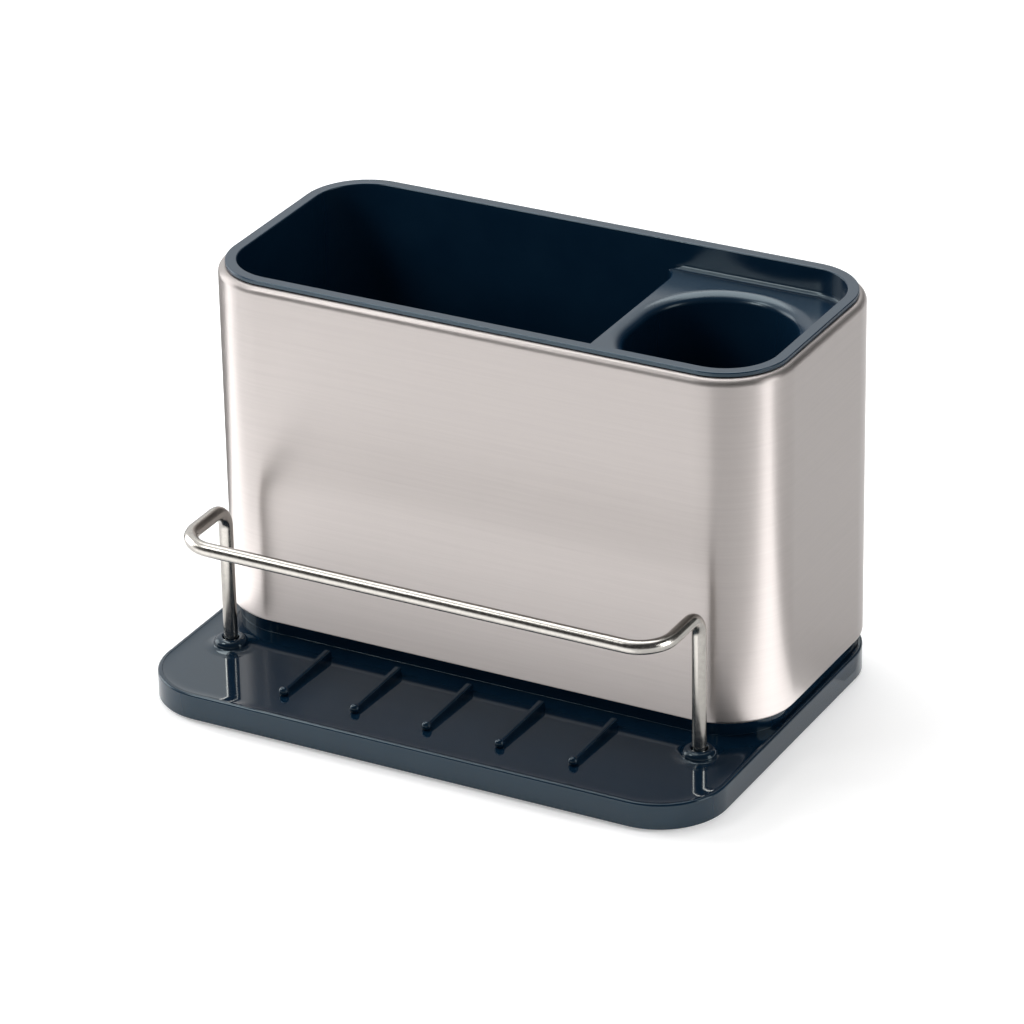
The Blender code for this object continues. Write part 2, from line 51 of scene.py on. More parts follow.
# Places that come from the frame
TRAY_LOW, TRAY_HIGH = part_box('base_tray')
SLEEVE_LOW, SLEEVE_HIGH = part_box('steel_sleeve')
LINER_LOW, LINER_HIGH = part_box('liner')
RAIL_LOW, RAIL_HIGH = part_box('rail')

# Steel sleeve, whose outline the plinth and the liner follow
BODY_CORNER = 23.7 * MM
STEEL_SHEET = 0.7 * MM
TOP_BEND = 2.5 * MM
FOOT_BEND = 1.2 * MM
TOP_LIP = 3.8 * MM
BOTTOM_LIP = 3.7 * MM

# Drip tray
TRAY_FRONT_CORNER = 22.9 * MM
TRAY_WALL = 2.4 * MM
TRAY_EDGE_ROUND = 0.9 * MM
SKIRT_EDGE_ROUND = 0.4 * MM
DISH_BORDER = 1.4 * MM
DISH_SLOPE = 3.6 * MM
DISH_DEPTH = 0.5 * MM

# Plinth, its spigot and the drip well
PLINTH_RISE = 4.16 * MM
PLINTH_INSET = 2.5 * MM
PLINTH_FILLET = 0.15 * MM
PLINTH_EDGE_ROUND = 0.3 * MM
SPIGOT_RISE = 2.8 * MM
SPIGOT_WALL = 2.2 * MM
SPIGOT_EDGE_ROUND = 0.4 * MM
WELL_FLOOR = 2.2 * MM
WELL_FILLET = 1.6 * MM

# Underside of the tray
UNDERSIDE_STEP = 1.2 * MM
BAY_STEP = 0.4 * MM
BAY_COUNT = 4
BAY_CORNER = 1.2 * MM
STIFFENER = 1.6 * MM
FOOT_BOSS_BORDER = 1.2 * MM
SOCKET_WALL = 2.2 * MM

# Drain ribs
RIB_COUNT = 5
RIB_PITCH = 25.8 * MM
RIB_SETBACK = 13.9 * MM
RIB_BODY_GAP = 4.8 * MM
RIB_FRONT_WIDTH = 1.6 * MM
RIB_BACK_WIDTH = 2.4 * MM
RIB_FRONT_HEIGHT = 2.1 * MM
RIB_BACK_HEIGHT = 2.9 * MM
RIB_EDGE_ROUND = 0.7 * MM
RIB_BALL_RADIUS = 1.6 * MM
RIB_BALL_LIFT = 1.3 * MM

# Collars and sockets of the rail
COLLAR_RISE = 3.2 * MM
COLLAR_RADIUS = 5.6 * MM
COLLAR_FACE_RADIUS = 3.4 * MM
COLLAR_DOME = 2.3 * MM
COLLAR_FLARE = 4.2 * MM
COLLAR_FLARE_RISE = 1.0 * MM
COLLAR_MOUTH = 0.7 * MM
SOCKET_FLOOR = 1.4 * MM

# Wire rail
WIRE = 4.6 * MM
WIRE_TOP_BEND = 7 * MM
WIRE_CORNER_BEND = 11 * MM
WIRE_END_ROUND = 0.5 * MM

# Rubber feet
FOOT_EDGE_ROUND = 0.4 * MM

# Liner
FLANGE_THICKNESS = 1.35 * MM
FLANGE_EDGE = 0.9 * MM
FLANGE_INSET = 2.3 * MM
RIM_FACE_INSET = 2.7 * MM
RIM_INNER_ROUND = 0.5 * MM
LINER_WALL = 1.9 * MM
LINER_FLOOR = 2 * MM
LINER_DRAFT = 1.1 * MM
LINER_BOTTOM_ROUND = 1.2 * MM
FLOOR_FILLET = 4 * MM

# Brush end of the liner
BRUSH_HOLE_X = 60 * MM
BRUSH_HOLE_RADIUS = 29.7 * MM
BRUSH_HOLE_STRAIGHT = 10 * MM
BRUSH_LIP_RADIUS = 6.5 * MM
BRUSH_LIP_BEND = 2.4 * MM
BRUSH_LIP_TILT = math.radians(33)
BRUSH_LIP_WIDTH = BRUSH_LIP_BEND + (BRUSH_LIP_RADIUS - BRUSH_LIP_BEND) * math.sin(BRUSH_LIP_TILT)
DIVIDER_LAND = 1.1 * MM
DIVIDER_FACE = BRUSH_HOLE_X - BRUSH_HOLE_RADIUS - DIVIDER_LAND
DIVIDER_CORNER = 9 * MM
DIVIDER_EDGE_ROUND = 0.7 * MM
LEDGE_DROP = 9.4 * MM
LEDGE_FILLET = 1.7 * MM
LEDGE_THICKNESS = 2.2 * MM

# Drain holes
DRAIN_RADIUS = 2.4 * MM
DRAIN_PITCH = 19 * MM
MAIN_DRAIN_COLUMNS = 5
MAIN_DRAIN_ROWS = 3
BRUSH_DRAIN_ROWS = 3

# Clearances, overruns and the distance under which points merge
SEAT_GAP = 0.3 * MM
SLIDE_GAP = 0.4 * MM
HAIR = 0.02 * MM
POCKET_CLEARANCE = 0.15 * MM
OVERRUN = 2 * MM
MERGE = 0.0005 * MM

# Facets
CORNER_STEPS = 32
ROUND_STEPS = 8
CIRCLE_STEPS = 72
SMALL_STEPS = 24
BEND_STEPS = 20
WIRE_SIDES = 40
SMOOTH_ANGLE = math.radians(32)

# Heights
SKIRT_FOOT = TRAY_LOW.z
SPIGOT_TOP = TRAY_HIGH.z
PLINTH_TOP = SPIGOT_TOP - SPIGOT_RISE
TRAY_RIM = PLINTH_TOP - PLINTH_RISE
TRAY_TOP = TRAY_RIM - DISH_DEPTH
UNDER_WELL = SKIRT_FOOT + UNDERSIDE_STEP
WELL_TOP = UNDER_WELL + WELL_FLOOR
STEEL_FOOT = SLEEVE_LOW.z
STEEL_TOP = SLEEVE_HIGH.z
LINER_FOOT = LINER_LOW.z
RIM_TOP = LINER_HIGH.z
FLANGE_UNDER = RIM_TOP - FLANGE_THICKNESS
FLOOR_TOP = LINER_FOOT + LINER_FLOOR
LEDGE_TOP = RIM_TOP - LEDGE_DROP
COLLAR_TOP = TRAY_TOP + COLLAR_RISE
SOCKET_END = UNDER_WELL + SOCKET_FLOOR

# Places from left to right and from front to back
LEFT = SLEEVE_LOW.x
RIGHT = SLEEVE_HIGH.x
BODY_FRONT = SLEEVE_LOW.y
BODY_BACK = SLEEVE_HIGH.y
BODY_MIDDLE = (BODY_FRONT + BODY_BACK) / 2
TRAY_FRONT = TRAY_LOW.y
LEG_X = RAIL_HIGH.x - WIRE / 2
LEG_Y = RAIL_HIGH.y - WIRE / 2
BAR_Y = RAIL_LOW.y + WIRE / 2
BAR_Z = RAIL_HIGH.z - WIRE / 2
LEG_PLACES = ((-LEG_X, LEG_Y), (LEG_X, LEG_Y))
FOOT_NAMES = ('foot_front_left', 'foot_front_right', 'foot_back_left', 'foot_back_right')

# Insets from the body's outline
SPIGOT_INSET = BOTTOM_LIP + SLIDE_GAP
WELL_INSET = SPIGOT_INSET + SPIGOT_WALL
LINER_INSET = TOP_LIP + SLIDE_GAP
HOLLOW_INSET = LINER_INSET + LINER_WALL
LEDGE_BLOCK_INSET = HOLLOW_INSET - LINER_WALL / 4

# Camera
CAMERA_PLACE = (719.92 * MM, -1325.43 * MM, 806.94 * MM)
CAMERA_TURN = math.radians(28.468)
CAMERA_DROP = math.radians(26.345)
CAMERA_ROLL = math.radians(-1.121)
CAMERA_LENS = 186.75
CAMERA_SENSOR = 36
CAMERA_REACH = 50

# Finishes: the darkest and lightest shade, the least and most roughness, and the depth of the bumps
PLASTIC_SHADES = ((0.0035, 0.019, 0.044), (0.0045, 0.023, 0.051))
TRAY_ROUGHNESS = (0.05, 0.08)
LINER_ROUGHNESS = (0.20, 0.26)
PLASTIC_BUMP = 0.02 * MM
STEEL_SHADES = ((0.395, 0.364, 0.351), (0.437, 0.403, 0.389))
STEEL_ROUGHNESS = (0.345, 0.395)
STEEL_BUMP = 0.01 * MM
WIRE_SHADES = ((0.38, 0.365, 0.34), (0.44, 0.42, 0.39))
WIRE_ROUGHNESS = (0.2, 0.26)
WIRE_BUMP = 0.01 * MM
RUBBER_SHADES = ((0.016, 0.016, 0.017), (0.024, 0.024, 0.025))
RUBBER_ROUGHNESS = (0.7, 0.85)
RUBBER_BUMP = 0.05 * MM
FLOOR_SHADES = ((0.78, 0.78, 0.78), (0.8, 0.8, 0.8))
# Painted reflections: shades of the black and grey sheets that only mirrors show, which darken the steel's
# reflection
PAINTED_DARK_REFLECTION_SHADES = ((0.01, 0.01, 0.01), (0.02, 0.02, 0.02))
PAINTED_GREY_REFLECTION_SHADES = ((0.75, 0.75, 0.75), (0.79, 0.79, 0.79))
MATT = 0.9

# Grain: waves of noise in a metre along each axis, and the levels between which the noise mostly lies
PLASTIC_CLOUDS = (60, 60, 60)
PLASTIC_RIPPLES = (90, 90, 90)
FINE_BRUSHING = (45, 45, 5200)
BROAD_BRUSHING = (9, 9, 900)
WIRE_GRAIN = (700, 700, 700)
RUBBER_GRAIN = (900, 900, 900)
FLOOR_CLOUDS = (3, 3, 3)
# Speckle in the sheets that paint darker reflections into the steel
REFLECTION_SHEET_SPECKLE = (300, 300, 300)
NOISE_LOW = 0.3
NOISE_HIGH = 0.7

# World and floor: places in degrees from the front and above the horizon, and strengths where 1 is white
DIFFUSER_PLACE = (-120, 50)
DIFFUSER_STRENGTH = 1.1
STUDIO_DIM = 0.06
FILL_PLACE = (-150, 50)
FILL_LOW = 0.14
FILL_HIGH = 0.4
GLOW_START = math.radians(42)
GLOW_END = math.radians(58)
HORIZON_GLOW = 0.1
FLOOR_REACH = 6.0
FLOOR_GLOW = 0.28
FLOOR_LIFT = 0.08

# Softboxes: azimuth and elevation in degrees, width and height, and radiance
LAMP_TARGET = Vector((0, 0, 60 * MM))
LAMP_DISTANCE = 1.3
KEY_SOFTBOX = (-50, 48, 0.35, 0.35, 5.5)
LEFT_SOFTBOX = (-88, 10, 0.75, 1, 12.5)
RIGHT_SOFTBOX = (93, 8, 0.5, 1.1, 11.5)
TOP_SOFTBOX = (-150, 66, 1, 1, 3.2)
LINER_SOFTBOX = (-28, 27, 0.4, 0.4, 7)
DIM_RADIANCE = 2

# Cards and flags: their left, right, front and back edges, and the cards' height and radiance. The flags
# are sheets that paint darker reflections into the steel
NEAR_CARD = (-115 * MM, LEG_X, TRAY_FRONT, BODY_FRONT, COLLAR_TOP, 0.85)
LEFT_CARD = (-600 * MM, -105 * MM, -70 * MM, 18 * MM, SKIRT_FOOT, 2)
RIGHT_CARD = (105 * MM, 600 * MM, -40 * MM, 30 * MM, SKIRT_FOOT, 2.2)
FAR_CARD = (-320 * MM, 90 * MM, -350 * MM, -100 * MM, SKIRT_FOOT, 1)
BLACK_FLAG = (-600 * MM, -103 * MM, 30 * MM, 500 * MM)
GREY_FLAG = (103 * MM, 600 * MM, 45 * MM, 500 * MM)
FLAG_HEIGHT = 0.5 * MM

UPRIGHT = Vector((0, 0, 1))
SIDEWAYS = Vector((1, 0, 0))
HEADINGS = (Vector((1, 0, 0)), Vector((0, 1, 0)), Vector((-1, 0, 0)), Vector((0, -1, 0)))
RIGHT_ANGLE = math.pi / 2
FULL_TURN = math.pi * 2


# Profiles: lists of insets (or radii) and heights

def round_to(profile, end, upright_first, steps=ROUND_STEPS):
    """Add a quarter of an ellipse to a profile. It leaves the last point upright or level."""
    inset, height = profile[-1]
    across = end[0] - inset
    rise = end[1] - height
    for step in range(1, steps + 1):
        angle = RIGHT_ANGLE * step / steps
        slow = 1 - math.cos(angle)
        quick = math.sin(angle)
        if upright_first:
            profile.append((inset + across * slow, height + rise * quick))
        else:
            profile.append((inset + across * quick, height + rise * slow))


# Outlines seen from above: sides, and corners from the front right one round to the front left one

def outline(left, right, front, back, corners):
    """The middle of the front side and the corners' centres, with the sides they follow."""
    front_right, back_right, back_left, front_left = corners
    centres = [
        Vector((right - front_right, front + front_right, 0)),
        Vector((right - back_right, back - back_right, 0)),
        Vector((left + back_left, back - back_left, 0)),
        Vector((left + front_left, front + front_left, 0))]
    start = Vector(((centres[0].x + centres[3].x) / 2, front, 0))
    return start, centres


def body_outline():
    return outline(LEFT, RIGHT, BODY_FRONT, BODY_BACK, [BODY_CORNER] * 4)


def tray_outline():
    corners = (TRAY_FRONT_CORNER, BODY_CORNER, BODY_CORNER, TRAY_FRONT_CORNER)
    return outline(LEFT, RIGHT, TRAY_FRONT, BODY_BACK, corners)


def brush_outline():
    """The brush hole's outline: two half circles joined by short straight sides."""
    radius = BRUSH_HOLE_RADIUS
    reach = radius + BRUSH_HOLE_STRAIGHT / 2
    return outline(
        BRUSH_HOLE_X - radius, BRUSH_HOLE_X + radius,
        BODY_MIDDLE - reach, BODY_MIDDLE + reach, [radius] * 4)


# Sections carried, turned and closed

def carried(mesh, section, step):
    """Extrude a section's edges along a straight step. The edges at its end come back."""
    if step.length < MERGE:
        return section
    moved = bmesh.ops.extrude_edge_only(mesh, edges=section)['geom']
    verts = [part for part in moved if isinstance(part, bmesh.types.BMVert)]
    bmesh.ops.translate(mesh, verts=verts, vec=step)
    return [part for part in moved if isinstance(part, bmesh.types.BMEdge)]


def turned(mesh, section, centre, axis, angle, steps):
    """Spin a section's edges about an axis. The edges at its end come back."""
    verts = list({vert for edge in section for vert in edge.verts})
    last = bmesh.ops.spin(
        mesh, geom=section + verts, cent=centre, axis=axis, angle=angle, steps=steps)['geom_last']
    return [part for part in last if isinstance(part, bmesh.types.BMEdge)]


def close_ends(mesh):
    """Merge the seam, and fill the loops that are still open."""
    bmesh.ops.remove_doubles(mesh, verts=mesh.verts, dist=MERGE)
    rims = [edge for edge in mesh.edges if edge.is_boundary]
    if rims:
        bmesh.ops.edgeloop_fill(mesh, edges=rims)


def sweep(mesh, profile, path, closed=False, steps=CORNER_STEPS):
    """Carry a profile of insets and heights right round an outline."""
    start, centres = path
    verts = [mesh.verts.new(start + Vector((0, inset, height))) for inset, height in profile]
    section = [mesh.edges.new(pair) for pair in zip(verts, verts[1:])]
    if closed:
        section.append(mesh.edges.new((verts[-1], verts[0])))
    here = start
    for heading, centre in zip(HEADINGS, centres):
        section = carried(mesh, section, heading * (centre - here).dot(heading))
        section = turned(mesh, section, centre, UPRIGHT, RIGHT_ANGLE, steps)
        here = centre
    carried(mesh, section, HEADINGS[0] * (start - here).dot(HEADINGS[0]))
    close_ends(mesh)


def lathe(mesh, profile, x, y, steps=CIRCLE_STEPS):
    """Turn a profile of radii and heights right round an upright axis."""
    verts = [mesh.verts.new((x + radius, y, height)) for radius, height in profile]
    section = [mesh.edges.new(pair) for pair in zip(verts, verts[1:])]
    bmesh.ops.spin(
        mesh, geom=verts + section, cent=(x, y, 0), axis=UPRIGHT, angle=FULL_TURN,
        steps=steps, use_merge=True)
    close_ends(mesh)


def solid(name, mesh):
    """Face the bmesh outwards, and put it into a new object."""
    bmesh.ops.recalc_face_normals(mesh, faces=mesh.faces)
    data = bpy.data.meshes.new(name)
    mesh.to_mesh(data)
    mesh.free()
    piece = bpy.data.objects.new(name, data)
    bpy.context.scene.collection.objects.link(piece)
    return piece


def swept_solid(name, profile, path, closed=False):
    mesh = bmesh.new()
    sweep(mesh, profile, path, closed)
    return solid(name, mesh)


def combine(piece, tools):
    """Join and cut tools in turn. The result is the piece's own mesh, and the tools go."""
    for tool, operation in tools:
        modifier = piece.modifiers.new(tool.name, 'BOOLEAN')
        modifier.operation = operation
        modifier.solver = 'EXACT'
        modifier.object = tool
    graph = bpy.context.evaluated_depsgraph_get()
    result = bpy.data.meshes.new_from_object(piece.evaluated_get(graph))
    piece.modifiers.clear()
    piece.data = result
    for tool, _ in tools:
        bpy.data.objects.remove(tool)


def dress(piece, material, body, slot, *nodes):
    """Shade a finished piece, give it its material, and set it in place of its CAD nodes."""
    piece.data.shade_smooth()
    piece.data.set_sharp_from_angle(angle=SMOOTH_ANGLE)
    even = piece.modifiers.new('even_shading', 'WEIGHTED_NORMAL')
    even.keep_sharp = True
    piece.data.materials.clear()
    piece.data.materials.append(material)
    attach(piece, body)
    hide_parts(*nodes)


# Drip tray

def tray_slab():
    """The slab with its rounded edges, and the shallow dish that keeps the water on it."""
    profile = [(SKIRT_EDGE_ROUND, SKIRT_FOOT)]
    round_to(profile, (0, SKIRT_FOOT + SKIRT_EDGE_ROUND), False)
    profile.append((0, TRAY_RIM - TRAY_EDGE_ROUND))
    round_to(profile, (TRAY_EDGE_ROUND, TRAY_RIM), True)
    profile.append((DISH_BORDER, TRAY_RIM))
    round_to(profile, (DISH_BORDER + DISH_SLOPE, TRAY_TOP), True)
    return swept_solid('tray_moulding', profile, tray_outline())


def plinth():
    """The block under the sleeve, with a fillet at its foot and the spigot on top."""
    foot_inset = PLINTH_INSET - PLINTH_FILLET
    profile = [(foot_inset, TRAY_TOP - OVERRUN), (foot_inset, TRAY_TOP - HAIR)]
    round_to(profile, (PLINTH_INSET, TRAY_TOP + PLINTH_FILLET), False)
    profile.append((PLINTH_INSET, PLINTH_TOP - PLINTH_EDGE_ROUND))
    round_to(profile, (PLINTH_INSET + PLINTH_EDGE_ROUND, PLINTH_TOP), True)
    profile.append((SPIGOT_INSET, PLINTH_TOP))
    profile.append((SPIGOT_INSET, SPIGOT_TOP - SPIGOT_EDGE_ROUND))
    round_to(profile, (SPIGOT_INSET + SPIGOT_EDGE_ROUND, SPIGOT_TOP), True)
    return swept_solid('plinth', profile, body_outline())


def well():
    """The cutter for the well that catches what drips from the liner."""
    profile = [(WELL_INSET + WELL_FILLET, WELL_TOP)]
    round_to(profile, (WELL_INSET, WELL_TOP + WELL_FILLET), False)
    profile.append((WELL_INSET, SPIGOT_TOP + OVERRUN))
    return swept_solid('well', profile, body_outline())


def collars():
    """Domed collars round the rail's legs, which flare out onto the tray."""
    foot_radius = COLLAR_RADIUS + COLLAR_FLARE
    profile = [(foot_radius, TRAY_TOP - OVERRUN), (foot_radius, TRAY_TOP - HAIR)]
    round_to(profile, (COLLAR_RADIUS, TRAY_TOP + COLLAR_FLARE_RISE), False, ROUND_STEPS * 2)
    profile.append((COLLAR_RADIUS, COLLAR_TOP - COLLAR_DOME))
    round_to(profile, (COLLAR_FACE_RADIUS, COLLAR_TOP), True)
    mesh = bmesh.new()
    for x, y in LEG_PLACES:
        lathe(mesh, profile, x, y)
    return solid('collars', mesh)


def sockets():
    """The cutters for the blind holes of the rail's legs, with a dished mouth."""
    radius = WIRE / 2 + SEAT_GAP
    profile = [(radius, SOCKET_END), (radius, COLLAR_TOP - COLLAR_MOUTH)]
    round_to(profile, (radius + COLLAR_MOUTH, COLLAR_TOP), True)
    profile.append((radius + COLLAR_MOUTH, COLLAR_TOP + OVERRUN))
    mesh = bmesh.new()
    for x, y in LEG_PLACES:
        lathe(mesh, profile, x, y)
    return solid('sockets', mesh)


def rib_places():
    """Where the ribs lie from left to right."""
    middle = (RIB_COUNT - 1) / 2
    return [(index - middle) * RIB_PITCH for index in range(RIB_COUNT)]


def ribs():
    """Tapered ribs with rounded edges, which start from cubes."""
    front = TRAY_FRONT + RIB_SETBACK
    back = BODY_FRONT - RIB_BODY_GAP
    foot = TRAY_TOP - OVERRUN / 2
    mesh = bmesh.new()
    for x in rib_places():
        cube = bmesh.ops.create_cube(mesh, size=1)['verts']
        for vert in cube:
            in_front = vert.co.y < 0
            width = RIB_FRONT_WIDTH if in_front else RIB_BACK_WIDTH
            top = TRAY_TOP + (RIB_FRONT_HEIGHT if in_front else RIB_BACK_HEIGHT)
            vert.co.x = x + width * vert.co.x
            vert.co.y = front if in_front else back
            vert.co.z = foot if vert.co.z < 0 else top
        edges = {edge for vert in cube for edge in vert.link_edges}
        top_edges = [edge for edge in edges if min(vert.co.z for vert in edge.verts) > TRAY_TOP]
        bmesh.ops.bevel(
            mesh, geom=top_edges, offset=RIB_EDGE_ROUND, offset_type='OFFSET', segments=ROUND_STEPS,
            profile=0.5, affect='EDGES', material=-1)
    return solid('ribs', mesh)


def rib_balls():
    """The balls that end the ribs in front."""
    mesh = bmesh.new()
    for x in rib_places():
        ball = bmesh.ops.create_uvsphere(
            mesh, u_segments=SMALL_STEPS * 2, v_segments=SMALL_STEPS, radius=RIB_BALL_RADIUS)
        centre = Vector((x, TRAY_FRONT + RIB_SETBACK, TRAY_TOP + RIB_BALL_LIFT))
        bmesh.ops.translate(mesh, verts=ball['verts'], vec=centre)
    return solid('rib_balls', mesh)


def foot_centre(name):
    low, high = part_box(name)
    return (low + high) / 2


def bosses():
    """What stays standing in the bays: a boss over each front foot and round each socket."""
    foot = UNDER_WELL - OVERRUN
    ceiling = TRAY_TOP
    mesh = bmesh.new()
    for x, y in LEG_PLACES:
        radius = WIRE / 2 + SEAT_GAP + SOCKET_WALL
        lathe(mesh, [(radius, foot), (radius, ceiling)], x, y)
    for name in FOOT_NAMES:
        low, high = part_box(name)
        centre = foot_centre(name)
        if centre.y < BODY_FRONT:
            radius = (high.x - low.x) / 2 + FOOT_BOSS_BORDER
            lathe(mesh, [(radius, foot), (radius, ceiling)], centre.x, centre.y)
    return solid('bosses', mesh)


def underside_step():
    """The cutter that opens the tray from below, inside its skirt."""
    profile = [(TRAY_WALL, SKIRT_FOOT - OVERRUN), (TRAY_WALL, UNDER_WELL)]
    return swept_solid('underside_step', profile, tray_outline())


def bays():
    """The deeper bays between the stiffeners, in front of the plinth."""
    inset = TRAY_WALL + BAY_STEP
    width = (RIGHT - LEFT - 2 * inset - (BAY_COUNT - 1) * STIFFENER) / BAY_COUNT
    mesh = bmesh.new()
    for index in range(BAY_COUNT):
        left = LEFT + inset + index * (width + STIFFENER)
        corners = [BAY_CORNER] * 4
        if index == 0:
            corners[3] = TRAY_FRONT_CORNER - inset
        if index == BAY_COUNT - 1:
            corners[0] = TRAY_FRONT_CORNER - inset
        path = outline(left, left + width, TRAY_FRONT + inset, BODY_FRONT + PLINTH_INSET, corners)
        sweep(mesh, [(0, UNDER_WELL - OVERRUN / 2), (0, TRAY_TOP - TRAY_WALL)], path, steps=ROUND_STEPS)
    cutter = solid('bays', mesh)
    combine(cutter, [(bosses(), 'DIFFERENCE')])
    return cutter


def make_tray():
    piece = tray_slab()
    combine(piece, [
        (plinth(), 'UNION'), (collars(), 'UNION'), (ribs(), 'UNION'), (rib_balls(), 'UNION'),
        (well(), 'DIFFERENCE'), (underside_step(), 'DIFFERENCE'), (bays(), 'DIFFERENCE'),
        (sockets(), 'DIFFERENCE')])
    dress(piece, gloss_plastic('tray_plastic', TRAY_ROUGHNESS), 'base', 'tray_plastic', 'base_tray')
    return piece


# Feet

def make_feet():
    material = soft_rubber()
    for name in FOOT_NAMES:
        low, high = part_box(name)
        centre = foot_centre(name)
        radius = (high.x - low.x) / 2
        profile = [(radius - FOOT_EDGE_ROUND, low.z)]
        round_to(profile, (radius, low.z + FOOT_EDGE_ROUND), False)
        profile.append((radius, high.z))
        mesh = bmesh.new()
        lathe(mesh, profile, centre.x, centre.y)
        dress(solid('rubber_' + name, mesh), material, 'base', 'foot_rubber', name)


# Wire rail

def make_rail():
    """One length of wire: up, forwards, across and back down, with the bends spun."""
    mesh = bmesh.new()
    ring = bmesh.ops.create_circle(mesh, segments=WIRE_SIDES, radius=WIRE / 2)['verts']
    bmesh.ops.translate(mesh, verts=ring, vec=Vector((-LEG_X, LEG_Y, RAIL_LOW.z)))
    section = list(mesh.edges)
    climb = UPRIGHT * (BAR_Z - WIRE_TOP_BEND - RAIL_LOW.z)
    forwards = HEADINGS[3] * (LEG_Y - BAR_Y - WIRE_TOP_BEND - WIRE_CORNER_BEND)
    across = HEADINGS[0] * 2 * (LEG_X - WIRE_CORNER_BEND)
    top_bend = Vector((LEG_X, LEG_Y - WIRE_TOP_BEND, BAR_Z - WIRE_TOP_BEND))
    corner_bend = Vector((LEG_X - WIRE_CORNER_BEND, BAR_Y + WIRE_CORNER_BEND, BAR_Z))
    mirrored = Vector((-1, 1, 1))
    for run, centre, axis, angle in (
            (climb, top_bend * mirrored, SIDEWAYS, RIGHT_ANGLE),
            (forwards, corner_bend * mirrored, UPRIGHT, RIGHT_ANGLE),
            (across, corner_bend, UPRIGHT, RIGHT_ANGLE),
            (-forwards, top_bend, SIDEWAYS, -RIGHT_ANGLE)):
        section = carried(mesh, section, run)
        section = turned(mesh, section, centre, axis, angle, BEND_STEPS)
    carried(mesh, section, -climb)
    close_ends(mesh)
    end_edges = [edge for edge in mesh.edges if max(vert.co.z for vert in edge.verts) < RAIL_LOW.z + MERGE]
    bmesh.ops.bevel(
        mesh, geom=end_edges, offset=WIRE_END_ROUND, offset_type='OFFSET', segments=ROUND_STEPS // 2,
        profile=0.5, affect='EDGES', material=-1)
    dress(solid('wire_rail', mesh), drawn_wire(), 'base', 'rail_wire', 'rail')


# Steel sleeve

def make_sleeve():
    """The sheet with its lips, as one closed profile carried round the body."""
    profile = [(BOTTOM_LIP, STEEL_FOOT), (FOOT_BEND, STEEL_FOOT)]
    round_to(profile, (0, STEEL_FOOT + FOOT_BEND), False)
    profile.append((0, STEEL_TOP - TOP_BEND))
    round_to(profile, (TOP_BEND, STEEL_TOP), True)
    profile.append((TOP_LIP, STEEL_TOP))
    profile.append((TOP_LIP, STEEL_TOP - STEEL_SHEET))
    profile.append((TOP_BEND, STEEL_TOP - STEEL_SHEET))
    round_to(profile, (STEEL_SHEET, STEEL_TOP - TOP_BEND), False)
    profile.append((STEEL_SHEET, STEEL_FOOT + FOOT_BEND))
    round_to(profile, (FOOT_BEND, STEEL_FOOT + STEEL_SHEET), True)
    profile.append((BOTTOM_LIP, STEEL_FOOT + STEEL_SHEET))
    piece = swept_solid('sleeve_sheet', profile, body_outline(), closed=True)
    dress(piece, brushed_steel(), 'sleeve', 'sleeve_steel', 'steel_sleeve')
    return piece


# Liner

def draft(height):
    """How far the liner's sides have drawn in at a height."""
    return LINER_DRAFT * (RIM_TOP - height) / (RIM_TOP - LINER_FOOT)


def hollow_inset(height):
    return HOLLOW_INSET + draft(height)


def liner_outside():
    """Tapered sides, and the flange that hangs on the sleeve's lip."""
    side_foot = LINER_FOOT + LINER_BOTTOM_ROUND
    foot_inset = LINER_INSET + draft(side_foot)
    profile = [(foot_inset + LINER_BOTTOM_ROUND, LINER_FOOT)]
    round_to(profile, (foot_inset, side_foot), False)
    profile.append((LINER_INSET + draft(FLANGE_UNDER), FLANGE_UNDER))
    profile.append((FLANGE_INSET, FLANGE_UNDER))
    profile.append((FLANGE_INSET, FLANGE_UNDER + FLANGE_EDGE))
    round_to(profile, (RIM_FACE_INSET, RIM_TOP), True)
    return swept_solid('liner_moulding', profile, body_outline())


def liner_inside():
    """The cutter for the whole hollow, with a fillet round the floor and a rounded rim."""
    side_foot = FLOOR_TOP + FLOOR_FILLET
    rim = RIM_TOP - RIM_INNER_ROUND
    profile = [(hollow_inset(side_foot) + FLOOR_FILLET, FLOOR_TOP)]
    round_to(profile, (hollow_inset(side_foot), side_foot), False)
    profile.append((hollow_inset(rim), rim))
    round_to(profile, (hollow_inset(rim) - RIM_INNER_ROUND, RIM_TOP), True)
    profile.append((hollow_inset(rim) - RIM_INNER_ROUND, RIM_TOP + OVERRUN))
    return swept_solid('liner_inside', profile, body_outline())


def ledge_block():
    """The block that becomes the divider, the ledge and the brush compartment's wall."""
    left = DIVIDER_FACE - 2 * DIVIDER_CORNER
    path = outline(left, RIGHT, BODY_FRONT, BODY_BACK, [BODY_CORNER] * 4)
    top = LEDGE_TOP + LEDGE_FILLET
    bottom = LINER_FOOT + LINER_FLOOR / 2
    block = swept_solid(
        'ledge_block', [(LEDGE_BLOCK_INSET, bottom), (LEDGE_BLOCK_INSET, top)], path)
    combine(block, [(ledge_recess(), 'DIFFERENCE'), (divider_pocket(), 'DIFFERENCE')])
    return block


def ledge_recess():
    """The cutter over the ledge, whose fillet joins the ledge to the walls."""
    path = outline(LEFT / 2, RIGHT, BODY_FRONT, BODY_BACK, [BODY_CORNER] * 4)
    side_foot = LEDGE_TOP + LEDGE_FILLET
    inset = hollow_inset(side_foot) + HAIR
    profile = [(inset + LEDGE_FILLET, LEDGE_TOP)]
    round_to(profile, (inset, side_foot), False)
    profile.append((inset, side_foot + OVERRUN))
    return swept_solid('ledge_recess', profile, path)


